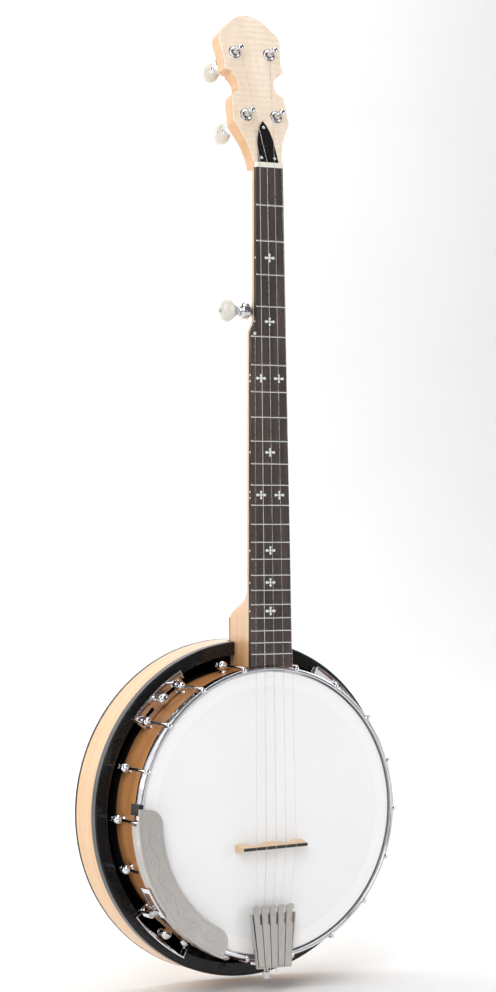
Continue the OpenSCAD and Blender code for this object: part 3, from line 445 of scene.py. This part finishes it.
def shoes():
    """Ball shoes with a washer and a waist where they meet the rim."""
    bm = bmesh.new()
    for angle in HOOK_ANGLES:
        turn = round_pot(angle, 0, -60)
        profile = [(0, 152.0)]
        for step in range(1, 13):
            a = math.radians(90 - 150 * step / 12)
            profile.append((5.3 * math.cos(a), HOOK_R + 5.3 * math.sin(a)))
        profile += [(2.7, 141.6), (3.3, 141.0), (3.5, 140.2), (3.5, 139.75), (0, 139.75)]
        lathe(bm, profile, turn, 28)
    return piece("shoes_round", bm, "chrome", "instrument", ("bracket_shoes",), 50)


shoes()


def nuts():
    """Hexagonal hook nuts with a domed end and a round collar."""
    bm = bmesh.new()
    for angle in HOOK_ANGLES:
        on_plate = any(abs(angle - a) < 12.4 for a in SCREW_ANGLES)
        begin = -53.1 if on_plate else -54.7
        turn = round_pot(angle, HOOK_R, begin) @ OUT_BACK
        lathe(bm, [(0, 0), (3.9, 0), (3.9, 1.0), (3.3, 1.2), (3.3, 1.5), (0, 1.5)], turn, 24)
        lathe(bm, [(0, 1.4), (3.7, 1.4), (4.0, 1.8), (4.0, 6.6), (3.5, 7.4), (2.4, 7.9), (0, 8.0)], turn, 6)
    return piece("nuts_hex", bm, "chrome", "instrument", ("hook_nuts",), 30)


nuts()

# ---------------------------------------------------------------- resonator


def inside_black(face):
    """The lacquered ledge and inner wall are black; only the outer wall shows wood."""
    centre = face.calc_center_median()
    return 0 if math.hypot(centre.x, centre.z) > 0.1655 and abs(face.normal.y) < 0.5 else 1


def front_black(face):
    return 1 if face.normal.y < -0.3 else 0


soften("resonator_side", ["side", "lacquer"], "resonator", 0.5, 2, 40, inside_black)
soften("resonator_back", ["back", "lacquer"], "resonator", 0.3, 2, 60, front_black)
soften("resonator_binding", "black", "resonator", 0.4, 2, 40)
soften("resonator_lugs", "lug", "resonator", 0.4)


def thumb_screws():
    for number, angle in enumerate(SCREW_ANGLES, 1):
        bm = bmesh.new()
        turn = round_pot(angle, SCREW_R, -54) @ OUT_BACK @ Matrix.Rotation(math.pi, 4, "X")
        lathe(bm, [(0, -9.6), (1.9, -9.4), (2.35, -8.6), (2.35, 0.1), (3.9, 0.9), (4.0, 2.6), (3.0, 3.4), (2.5, 5.0),
                   (2.5, 8.6), (3.6, 10.0), (5.0, 11.6), (5.6, 13.6), (5.2, 15.6), (3.8, 17.2), (2.2, 17.9), (0, 18.1)],
              turn, 36)
        for k in range(18):
            a = 2 * math.pi * k / 18
            rib = turn @ Matrix.Translation(Vector((5.25 * math.cos(a), 5.25 * math.sin(a), 0)) * MM)
            sweep(bm, [(0, 0, 11.9), (0, 0, 13.5), (0, 0, 15.0)], [(0.2, 0.2), (0.5, 0.5), (0.2, 0.2)], rib, 6)
        piece(f"thumb_screw_{number}_knurled", bm, "chrome", f"screw_{number}", (f"thumb_screw_{number}",), 40)


thumb_screws()

# ---------------------------------------------------------------- tailpiece, bridge and armrest

soften("tailpiece_base", "satin", "instrument", 0.3)
soften("tailpiece_fingers", "satin", "instrument", 0.4, 3)
dress("tailpiece_pins", "chrome")
soften("tailpiece_bolt", "chrome", "instrument", 0.5)
soften("bridge_base", "bridge", "instrument", 0.35, 2, 35)
soften("bridge_top", "ebony", "instrument", 0.4, 3)
soften("armrest_plate", "satin", "instrument", 0.7, 4, 40)


def pad_dark(face):
    """The pad under the armrest's upper end is dark rubber; the strap is chrome."""
    centre = face.calc_center_median()
    return 1 if math.degrees(math.atan2(centre.x, centre.z)) > -95 else 0


soften("armrest_clamps", ["chrome", "stain"], "instrument", 0.4, 2, 30, pad_dark)
soften("armrest_nuts", "chrome", "instrument", 0.5)


def ribbon(bm, points, width, y, drop=0.05):
    """Adds a flat line of a width through points (x, z) in mm, just proud of a face that looks along -Y."""
    left, right = [], []
    for i, (x, z) in enumerate(points):
        ahead = Vector(points[min(i + 1, len(points) - 1)]) - Vector(points[max(i - 1, 0)])
        side = Vector((-ahead.y, ahead.x)).normalized() * width / 2
        left.append(bm.verts.new(Vector((x + side.x, y - drop, z + side.y)) * MM))
        right.append(bm.verts.new(Vector((x - side.x, y - drop, z - side.y)) * MM))
    for i in range(len(points) - 1):
        bm.faces.new((left[i], left[i + 1], right[i + 1], right[i]))


def polar(angle, radius):
    a = math.radians(angle)
    return radius * math.sin(a), radius * math.cos(a)


def rest_ornament():
    """Two border lines and a plain vine with small curls cut in the armrest."""
    bm = bmesh.new()
    border = [polar(-157.2 + 69.4 * k / 60, 147.2) for k in range(61)]
    ribbon(bm, border, 0.35, -111.0)
    inner = [polar(-151.0 + 57.0 * k / 60, 126.6) for k in range(61)]
    ribbon(bm, inner, 0.35, -111.0)
    waves = 3.5
    stem = [polar(-152 + 58 * k / 120, 137 + 3.2 * math.sin(2 * math.pi * waves * k / 120)) for k in range(121)]
    ribbon(bm, stem, 0.45, -111.0)
    for n in range(7):
        crest = -152 + 58 * (0.25 + 0.5 * n) / waves
        side = 1 if n % 2 == 0 else -1
        curl = []
        for k in range(26):
            reach = 4.7 * (1 - k / 25) ** 0.8 + 0.5
            swing = 2 * math.pi * 1.1 * k / 25
            curl.append(polar(crest + reach * math.sin(swing) / 2.4, 137 + side * (reach * math.cos(swing) - 2.0)))
        ribbon(bm, curl, 0.4, -111.0)
    return piece("armrest_scrolls", bm, "steel", "instrument")


rest_ornament()


def string_ends():
    """The clipped ends of three strings below the tailpiece."""
    bm = bmesh.new()
    for x in (-8.0, -0.5, 6.0):
        path = [(x, -101.5, -146), (x + 0.3, -102.5, -151), (x + 1.2, -103.5, -154), (x + 2.4, -103, -156.5)]
        sweep(bm, path, 0.3, Matrix(), 8)
    return piece("string_ends", bm, "string", "instrument")


string_ends()

# ---------------------------------------------------------------- neck

soften("neck", "maple", "instrument", 0.9, 3, 48)
dress("peghead_overlay", "face")


def edge_black(face):
    """The fingerboard's long edges are stained black."""
    return 1 if abs(face.normal.x) > 0.7 else 0


soften("fingerboard", ["rosewood", "stain"], "instrument", 0.12, 1, 60, edge_black)
soften("frets", "fret", "instrument", 0.25, 2, 50)
dress("inlays", "pearl")
soften("nut", "bone", "instrument", 0.4, 3)
soften("fifth_string_nut", "bone", "instrument", 0.3)
dress("truss_rod", "steel")
dress("truss_rod_nut", "brass")
soften("truss_rod_cover", "black", "instrument", 0.5, 3)
soften("heel_cap", "black", "instrument", 0.4)
for number in (1, 2, 3, 5):
    dress(f"string_{number}", "string")
dress("string_4", "wound")


def cover_screws():
    """Domed screws."""
    bm = bmesh.new()
    for u, v in ((0, 37), (-7.4, 4.5), (7.4, 4.5)):
        turn = PEG @ Matrix.Translation(Vector((u, -1.86, v)) * MM) @ OUT_BACK @ Matrix.Rotation(math.pi, 4, "X")
        lathe(bm, [(0, -1.5), (0.9, -1.5), (0.9, 0), (1.75, 0), (1.6, 0.45), (1.1, 0.8), (0, 0.95)], turn, 20)
    return piece("cover_screws_domed", bm, "chrome", "instrument", ("cover_screws",), 50)


cover_screws()

# ---------------------------------------------------------------- tuners

BACK = 16.1 + 19.5


def tuner_bodies():
    """Planetary bodies: a stepped and ribbed sleeve."""
    bm = bmesh.new()
    for i in TUNERS:
        at = tuner(i)
        lathe(bm, [(3.4, 16.1), (9.2, 16.1), (9.2, 17.8), (8.9, 18.6), (8.2, 19.1), (8.2, 23.0), (7.7, 23.6), (7.7, 24.4),
                   (8.2, 25.0), (8.2, 31.0), (7.9, 32.4), (7.2, 33.6), (6.6, 34.6), (6.2, BACK),
                   (2.6, BACK), (2.6, 30), (3.4, 20), (3.4, 16.1)], at, 44)
    return piece("tuner_bodies", bm, "chrome", "instrument", ("tuner_housings",), 35)


def bushings():
    """Six-sided bushing nuts over a thin washer."""
    bm = bmesh.new()
    for i in TUNERS:
        at = tuner(i)
        lathe(bm, [(3.2, -0.6), (6.4, -0.6), (6.6, -0.35), (6.6, -0.02), (4.9, -0.02), (4.9, 12), (3.2, 12)], at, 40)
        lathe(bm, [(3.2, -2.6), (4.6, -2.6), (5.6, -2.1), (5.9, -1.6), (5.9, -0.6), (3.2, -0.6)], at, 6)
    return piece("tuner_bushings_hex", bm, "chrome", "instrument", ("tuner_bushings",), 30)


def post_profile():
    return [(0, -14.9), (1.9, -14.7), (3.0, -13.9), (3.4, -12.8), (3.3, -11.6), (2.75, -10.6), (2.3, -8.6), (2.2, -6.4),
            (2.5, -4.9), (3.05, -3.9), (3.05, 12.0), (6.1, 21.2), (6.1, 24.0), (0, 24.0)]


def coil(radius, low, high, turns, wire):
    """Points of string turns round a post."""
    steps = int(turns * 20)
    return [((radius + wire) * math.cos(2 * math.pi * turns * k / steps),
             (radius + wire) * math.sin(2 * math.pi * turns * k / steps), low + (high - low) * k / steps)
            for k in range(steps + 1)]


def button(bm, at, base, length, wide, thick):
    """A cushioned oval tuner button, widest past its middle."""
    outline = [(0.0, 0.30), (0.06, 0.46), (0.16, 0.62), (0.32, 0.84), (0.5, 0.98), (0.66, 1.0), (0.8, 0.92), (0.91, 0.74),
               (0.97, 0.5), (1.0, 0.0)]
    rings = []
    for t, w in outline:
        depth = (0.55 + 0.45 * math.sin(math.pi * min(t, 0.94))) * min(1.0, w * 1.25)
        if w == 0:
            rings.append([bm.verts.new(at @ (Vector((0, 0, base + length * t)) * MM))])
            continue
        ring = []
        for k in range(28):
            a = 2 * math.pi * k / 28
            x = math.copysign(abs(math.cos(a)) ** 0.86, math.cos(a)) * thick / 2 * depth
            y = math.copysign(abs(math.sin(a)) ** 0.86, math.sin(a)) * wide / 2 * w
            ring.append(bm.verts.new(at @ (Vector((x, y, base + length * t)) * MM)))
        rings.append(ring)
    bm.faces.new(rings[0])
    for low, high in zip(rings, rings[1:]):
        for k in range(28):
            corners = list(dict.fromkeys([low[k % len(low)], low[(k + 1) % 28 % len(low)],
                                          high[(k + 1) % 28 % len(high)], high[k % len(high)]]))
            bm.faces.new(corners)


def tuners():
    tuner_bodies()
    bushings()
    for i in TUNERS:
        at = tuner(i)
        bm = bmesh.new()
        lathe(bm, post_profile(), at, 32)
        piece(f"post_{i}_turned", bm, "chrome", f"post_{i}", (f"tuner_post_{i}",), 40)
        bm = bmesh.new()
        r = STRING_R[i]
        sweep(bm, coil(2.35, -6.2, -7.6 - 2 * r, 3.0, r), r, at, 8)
        piece(f"string_turns_{i}", bm, "wound" if i == 4 else "string", f"post_{i}")
        bm = bmesh.new()
        lathe(bm, [(0, 26), (2.5, 26), (2.5, BACK + 0.3), (4.6, BACK + 0.3), (4.8, BACK + 1.2), (4.0, BACK + 2.2),
                   (3.8, BACK + 4.4), (4.8, BACK + 5.8), (4.8, BACK + 6.6), (0, BACK + 6.6)], at, 32)
        lathe(bm, [(0, 56.0), (2.2, 56.0), (2.4, 57.0), (1.9, 57.7), (0.7, 57.8), (0, 57.2)], at, 24)
        piece(f"knob_{i}_shaft", bm, "chrome", f"knob_{i}", (f"tuner_knob_{i}",), 40)
        bm = bmesh.new()
        button(bm, at @ Matrix.Rotation(math.radians(25), 4, "Z"), 41.0, 16.0, 22.6, 17.0)
        obj = piece(f"knob_{i}_button", bm, "button", f"knob_{i}", (f"tuner_knob_{i}",), 80)
        obj.modifiers.new("round", "SUBSURF").render_levels = 2


def fifth_tuner():
    bm = bmesh.new()
    lathe(bm, [(0, -8.8), (3.0, -8.8), (3.0, -1.2), (6.3, -1.2), (6.4, -0.2), (5.6, 0.35), (1.5, 0.4), (1.5, 3.7),
               (8.2, 3.7), (8.8, 4.3), (8.8, 6.6), (8.3, 7.0), (8.3, 7.6), (8.8, 8.0), (8.8, 10.2), (8.0, 11.6),
               (6.2, 12.5), (2.1, 12.6), (2.1, 6), (0, 6)], FIFTH, 44)
    piece("fifth_body", bm, "chrome", "instrument", ("fifth_tuner_housing",), 35)
    bm = bmesh.new()
    lathe(bm, [(1.6, 0.62), (5.0, 0.62), (5.0, 1.2), (3.3, 1.5), (3.2, 2.4), (5.0, 2.8), (5.0, 3.4), (1.6, 3.4),
               (1.6, 0.62)], FIFTH, 36)
    piece("post_5_spool", bm, "chrome", "post_5", ("tuner_post_5",), 35)
    bm = bmesh.new()
    sweep(bm, coil(3.3, 1.7, 2.4, 2.5, 0.13), 0.13, FIFTH, 8)
    piece("string_turns_5", bm, "string", "post_5")
    bm = bmesh.new()
    lathe(bm, [(0, 6.3), (2.0, 6.3), (2.0, 12.9), (5.2, 12.9), (5.4, 13.8), (4.8, 14.8), (4.9, 16.2),
               (5.6, 17.2), (0, 17.2)], FIFTH, 32)
    piece("knob_5_shaft", bm, "chrome", "knob_5", ("tuner_knob_5",), 40)
    bm = bmesh.new()
    lathe(bm, [(0, 32.6), (2.3, 32.6), (2.5, 33.6), (2.0, 34.4), (0.7, 34.5), (0, 33.9)], FIFTH, 24)
    piece("knob_5_screw", bm, "steel", "knob_5")
    bm = bmesh.new()
    button(bm, FIFTH @ Matrix.Rotation(math.radians(90), 4, "Z"), 15.6, 18.0, 22.8, 15.0)
    obj = piece("knob_5_button", bm, "button", "knob_5", ("tuner_knob_5",), 80)
    obj.modifiers.new("round", "SUBSURF").render_levels = 2


tuners()
fifth_tuner()

# ---------------------------------------------------------------- studio


def studio():
    bpy.context.scene.view_settings.view_transform = "Standard"
    floor_z = -0.176
    bm = bmesh.new()
    profile = [(-7.0, floor_z), (3.2, floor_z)]
    profile += [(3.2 + 1.4 * math.sin(math.radians(a)), floor_z + 1.4 - 1.4 * math.cos(math.radians(a)))
                for a in range(10, 91, 10)]
    profile.append((4.6, 6.0))
    rows = [[bm.verts.new((x, y, z)) for x in (-8.0, 8.0)] for y, z in profile]
    for low, high in zip(rows, rows[1:]):
        bm.faces.new((low[0], low[1], high[1], high[0]))
    mesh = bpy.data.meshes.new("floor_sweep")
    bmesh.ops.recalc_face_normals(bm, faces=bm.faces)
    bm.to_mesh(mesh)
    bm.free()
    mesh.shade_smooth()
    mat, tree, bsdf = start("paper", Roughness=0.85)
    tone = ramp(tree, noise(tree, position(tree, (1, 1, 1)), 3, 2), [(0.3, 0.88), (0.7, 0.9)])
    tree.links.new(tone, bsdf.inputs["Base Color"])
    mesh.materials.append(mat)
    floor = bpy.data.objects.new("floor_sweep", mesh)
    bpy.context.collection.objects.link(floor)

    world = bpy.data.worlds.new("studio")
    bpy.context.scene.world = world
    world.use_nodes = True
    world.node_tree.nodes["Background"].inputs["Color"].default_value = (0.9, 0.95, 1.0, 1)
    world.node_tree.nodes["Background"].inputs["Strength"].default_value = 0.14


def area_light(name, place, target, size, power, colour=(1, 1, 1)):
    data = bpy.data.lights.new(name, "AREA")
    data.shape = "RECTANGLE"
    data.size, data.size_y = size
    data.energy = power
    data.color = colour
    obj = bpy.data.objects.new(name, data)
    obj.location = place
    obj.rotation_euler = (Vector(target) - Vector(place)).to_track_quat("-Z", "Y").to_euler()
    bpy.context.collection.objects.link(obj)


studio()
area_light("key", (-1.7, -2.2, 1.7), (0, -0.05, 0.25), (1.4, 2.2), 51, (1, 0.985, 0.96))
area_light("fill", (2.3, -2.0, 0.6), (0, -0.05, 0.25), (0.9, 2.4), 27)
area_light("top", (0.1, -0.6, 2.6), (0, 0, 0.2), (2.0, 1.2), 22)
area_light("left", (-2.4, -0.2, 0.4), (0, 0, 0.15), (0.8, 1.8), 9)
area_light("back_left", (-1.8, 2.0, 1.2), (0, 0, 0.2), (1.2, 1.8), 12)
area_light("back_right", (1.8, 2.0, 1.0), (0, 0, 0.2), (1.2, 1.8), 10)
area_light("backdrop_wash", (0, 1.2, 3.2), (0, 4.6, 1.4), (6.0, 1.0), 190)
area_light("floor_wash", (0, 1.6, 3.0), (0, 2.4, -0.17), (5.0, 1.2), 40)


def camera():
    """Stands where the photograph's camera stood, found from the frets and the hoop."""
    azimuth, elevation, roll = map(math.radians, (-30.258, 0.212, 0.222))
    target = Vector((0, -0.1, 0.3))
    away = Vector((math.sin(azimuth) * math.cos(elevation), -math.cos(azimuth) * math.cos(elevation),
                   math.sin(elevation)))
    data = bpy.data.cameras.new("camera")
    data.sensor_width = 36
    data.lens = 104.76
    data.shift_x = -0.02213
    data.shift_y = 0.0126
    data.clip_end = 50
    obj = bpy.data.objects.new("camera", data)
    look = (-away).to_track_quat("-Z", "Y").to_matrix().to_4x4()
    obj.matrix_world = Matrix.Translation(target + away * 2.84525) @ look @ Matrix.Rotation(roll, 4, "Z")
    bpy.context.collection.objects.link(obj)
    bpy.context.scene.camera = obj


camera()
